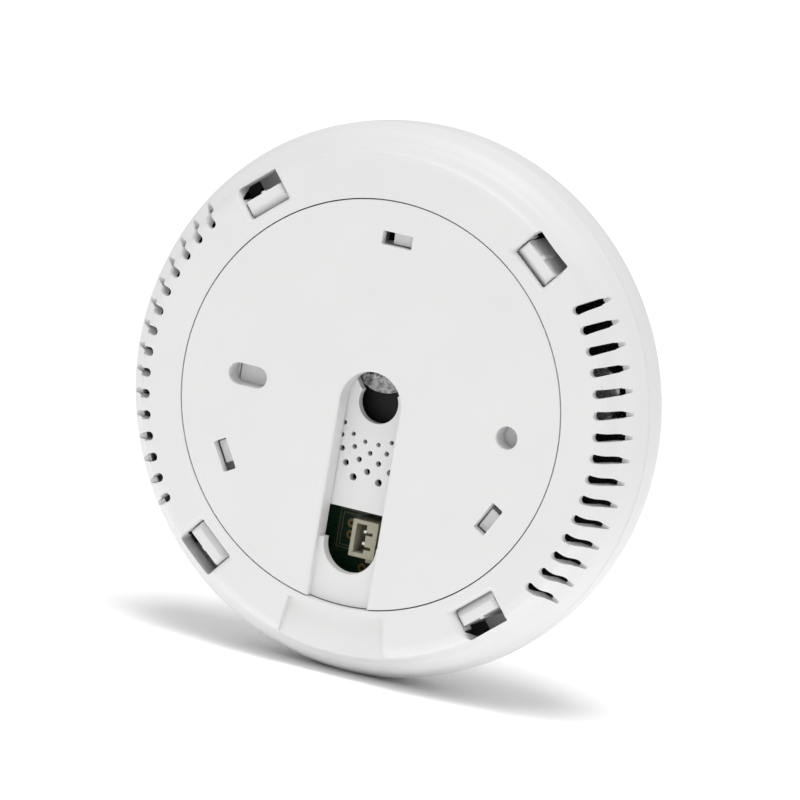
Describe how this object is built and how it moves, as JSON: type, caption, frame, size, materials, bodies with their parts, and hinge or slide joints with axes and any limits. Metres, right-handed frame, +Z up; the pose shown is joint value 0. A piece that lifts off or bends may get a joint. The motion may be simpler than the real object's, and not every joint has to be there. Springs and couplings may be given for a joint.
{
  "type": "smoke detector",
  "caption": "Round smoke alarm on a twist-off mounting plate: vented rear housing, domed front cover, sprung test button, and the circuit board, chamber, sounder and battery inside.",
  "frame": {"origin": "centre of the mounting plate's wall face, on the alarm's axis", "axes": "+Y from the wall into the room along the alarm's axis, +Z up the wall with the wire channel running down, +X along the wall towards the round screw hole"},
  "size_m": [0.1174, 0.0385, 0.1174],
  "materials": {
    "white_plastic": "fine satin moulding",
    "black_plastic": "matte",
    "circuit_board": "green solder mask",
    "cream_plastic": "natural nylon",
    "bright_steel": "tin plated",
    "capacitor_can": "bright drawn can",
    "brass": "bright",
    "foil": "crumpled foil",
    "battery_sleeve": "shrink sleeve",
    "clear_plastic": "clear moulding",
    "red_lens": "tinted epoxy",
    "ceramic": "fired ceramic"
  },
  "bodies": {
    "plate": {"mounting_plate": "white_plastic"},
    "alarm": {"rear_housing": "white_plastic", "front_cover": "white_plastic", "tact_switch_body": "black_plastic", "sounder_housing": "black_plastic", "insect_screen": "black_plastic", "chamber_base": "black_plastic", "chamber_cap": "black_plastic", "vent_screen_1": "black_plastic", "vent_screen_2": "black_plastic", "battery_holder": "black_plastic", "microcontroller": "black_plastic", "step_up_inductor": "black_plastic", "bridge_rectifier": "black_plastic", "resistor_1": "black_plastic", "resistor_2": "black_plastic", "resistor_3": "black_plastic", "resistor_4": "black_plastic", "resistor_5": "black_plastic", "resistor_6": "black_plastic", "main_board": "circuit_board", "wire_header": "cream_plastic", "button_spring": "bright_steel", "board_screw_1": "bright_steel", "board_screw_2": "bright_steel", "board_screw_3": "bright_steel", "header_pin_1": "bright_steel", "header_pin_2": "bright_steel", "sounder_contact_1": "bright_steel", "sounder_contact_2": "bright_steel", "sounder_contact_3": "bright_steel", "battery_contact_plus": "bright_steel", "battery_contact_minus": "bright_steel", "capacitor_lead_1": "bright_steel", "capacitor_lead_2": "bright_steel", "crystal": "bright_steel", "smoothing_capacitor": "capacitor_can", "piezo_disc": "brass", "shield_foil": "foil", "battery": "battery_sleeve", "light_guide": "clear_plastic", "infrared_led": "clear_plastic", "photodiode": "clear_plastic", "status_led": "red_lens", "piezo_ceramic": "ceramic", "bypass_capacitor_1": "ceramic", "bypass_capacitor_2": "ceramic", "bypass_capacitor_3": "ceramic"},
    "button": {"test_button": "white_plastic"},
    "switch_plunger": {"tact_switch_plunger": "black_plastic"}
  },
  "joints": [
    {"name": "bayonet_twist", "type": "hinge", "parent": "plate", "child": "alarm", "pos_m": [0, 0, 0], "axis": [0, 1, 0], "range_deg": [0, 12]},
    {"name": "button_press", "type": "slide", "parent": "alarm", "child": "button", "axis": [0, -1, 0], "range_m": [0, 0.0006], "stiffness_N_per_m": 1200, "springref_m": -0.0003, "deforming": ["button_spring"]},
    {"name": "switch_press", "type": "slide", "parent": "alarm", "child": "switch_plunger", "axis": [0, -1, 0], "range_m": [0, 0.0006]}
  ],
  "couplings": [
    {"joint": "switch_press", "follows": "button_press", "ratio": 1}
  ]
}
